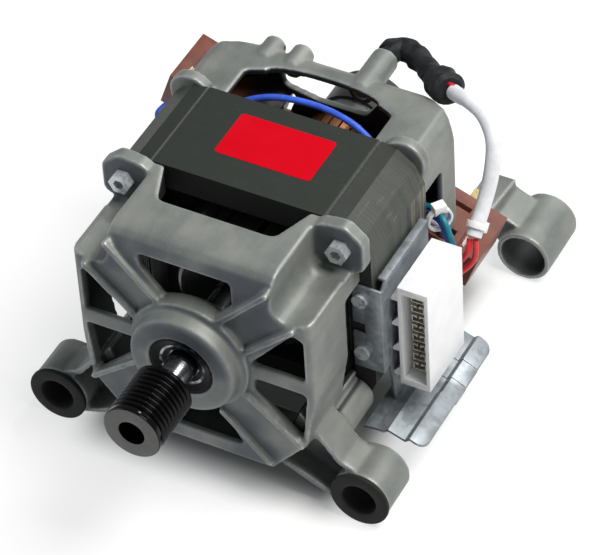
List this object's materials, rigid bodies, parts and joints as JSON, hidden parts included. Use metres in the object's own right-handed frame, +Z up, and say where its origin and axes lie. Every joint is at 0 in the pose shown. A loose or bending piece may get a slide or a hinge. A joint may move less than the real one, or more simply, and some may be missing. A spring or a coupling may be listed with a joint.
{
  "type": "washing machine motor",
  "caption": "Brushed belt-drive washing machine motor with ribbed die-cast shields, laminated stator, multi-groove pulley, brush gear, side connector and fixing lugs.",
  "frame": {"origin": "on the shaft axis, in the middle plane of the belt grooves", "axes": "+Y along the shaft from the pulley to the rear, +X towards the connector side, +Z up from the fixing lugs to the label side"},
  "size_m": [0.1549, 0.2187, 0.1192],
  "materials": {
    "cast_alloy": "satin as-cast",
    "laminations": "thin dark lacquer",
    "enamelled_copper": "glossy enamel",
    "bare_copper": "turned",
    "former_plastic": "moulded",
    "zinc_steel": "zinc plated",
    "rubber": "matte",
    "bearing_steel": "ground",
    "seal_rubber": "glossy moulded",
    "pulley_black": "gloss black",
    "phenolic": "moulded brown",
    "brass": "rolled",
    "carbon": "matte graphite",
    "spring_steel": "bright",
    "ferrite": "sintered",
    "galvanised_sheet": "galvanised",
    "white_plastic": "glossy",
    "natural_nylon": "translucent",
    "black_sleeve": "soft matte",
    "white_sleeve": "soft satin",
    "red_lead": "insulated wire",
    "grey_lead": "insulated wire",
    "teal_lead": "insulated wire",
    "blue_lead": "insulated wire"
  },
  "bodies": {
    "stator": {"front_shield": "cast_alloy", "rear_shield": "cast_alloy", "stator_core": "laminations", "field_coil_left": "enamelled_copper", "field_coil_right": "enamelled_copper", "field_turns_left": "enamelled_copper", "field_turns_right": "enamelled_copper", "coil_former_left": "former_plastic", "coil_former_right": "former_plastic", "stator_screws": "zinc_steel", "lug_bush_left": "rubber", "lug_bush_right": "rubber", "front_bearing_outer_ring": "bearing_steel", "front_seal": "seal_rubber", "rear_bearing_outer_ring": "bearing_steel", "preload_washer": "bearing_steel", "tacho_coil": "enamelled_copper", "tacho_cover": "former_plastic", "brush_holder_left": "phenolic", "brush_holder_right": "phenolic", "brush_guide_left": "brass", "brush_guide_right": "brass", "brush_spring_left": "spring_steel", "brush_spring_right": "spring_steel", "brush_terminal_left": "brass", "brush_terminal_right": "brass", "connector_bracket": "galvanised_sheet", "bracket_rivets": "zinc_steel", "connector_housing": "white_plastic", "connector_contacts": "brass", "tacho_boot": "black_sleeve", "tacho_sleeve": "white_sleeve", "red_leads": "red_lead", "grey_lead": "grey_lead", "teal_lead": "teal_lead", "blue_lead": "blue_lead", "field_lead": "blue_lead", "brush_lead": "blue_lead", "cable_ties": "natural_nylon"},
    "rotor": {"shaft": "bearing_steel", "pulley": "pulley_black", "rotor_core": "laminations", "armature_winding": "enamelled_copper", "commutator_bars": "bare_copper", "commutator_hub": "phenolic", "front_bearing_inner_ring": "bearing_steel", "rear_bearing_inner_ring": "bearing_steel", "tacho_magnet": "ferrite"},
    "front_ball_set": {"front_bearing_balls": "bearing_steel"},
    "rear_ball_set": {"rear_bearing_balls": "bearing_steel"},
    "brush_left": {"carbon_brush_left": "carbon"},
    "brush_right": {"carbon_brush_right": "carbon"}
  },
  "joints": [
    {"name": "rotor_spin", "type": "hinge", "parent": "stator", "child": "rotor", "pos_m": [0, 0, 0], "axis": [0, 1, 0], "continuous": true},
    {"name": "front_ball_spin", "type": "hinge", "parent": "stator", "child": "front_ball_set", "pos_m": [0, 0.0324, 0], "axis": [0, 1, 0], "continuous": true},
    {"name": "rear_ball_spin", "type": "hinge", "parent": "stator", "child": "rear_ball_set", "pos_m": [0, 0.1655, 0], "axis": [0, 1, 0], "continuous": true},
    {"name": "brush_left_slide", "type": "slide", "parent": "stator", "child": "brush_left", "axis": [-0.9397, 0, 0.342], "range_m": [0, 0.008], "stiffness_N_per_m": 150, "springref_m": -0.02, "deforming": ["brush_spring_left"]},
    {"name": "brush_right_slide", "type": "slide", "parent": "stator", "child": "brush_right", "axis": [0.9397, 0, -0.342], "range_m": [0, 0.008], "stiffness_N_per_m": 150, "springref_m": -0.02, "deforming": ["brush_spring_right"]}
  ],
  "couplings": [
    {"joint": "front_ball_spin", "follows": "rotor_spin", "ratio": 0.3818},
    {"joint": "rear_ball_spin", "follows": "rotor_spin", "ratio": 0.3787}
  ]
}
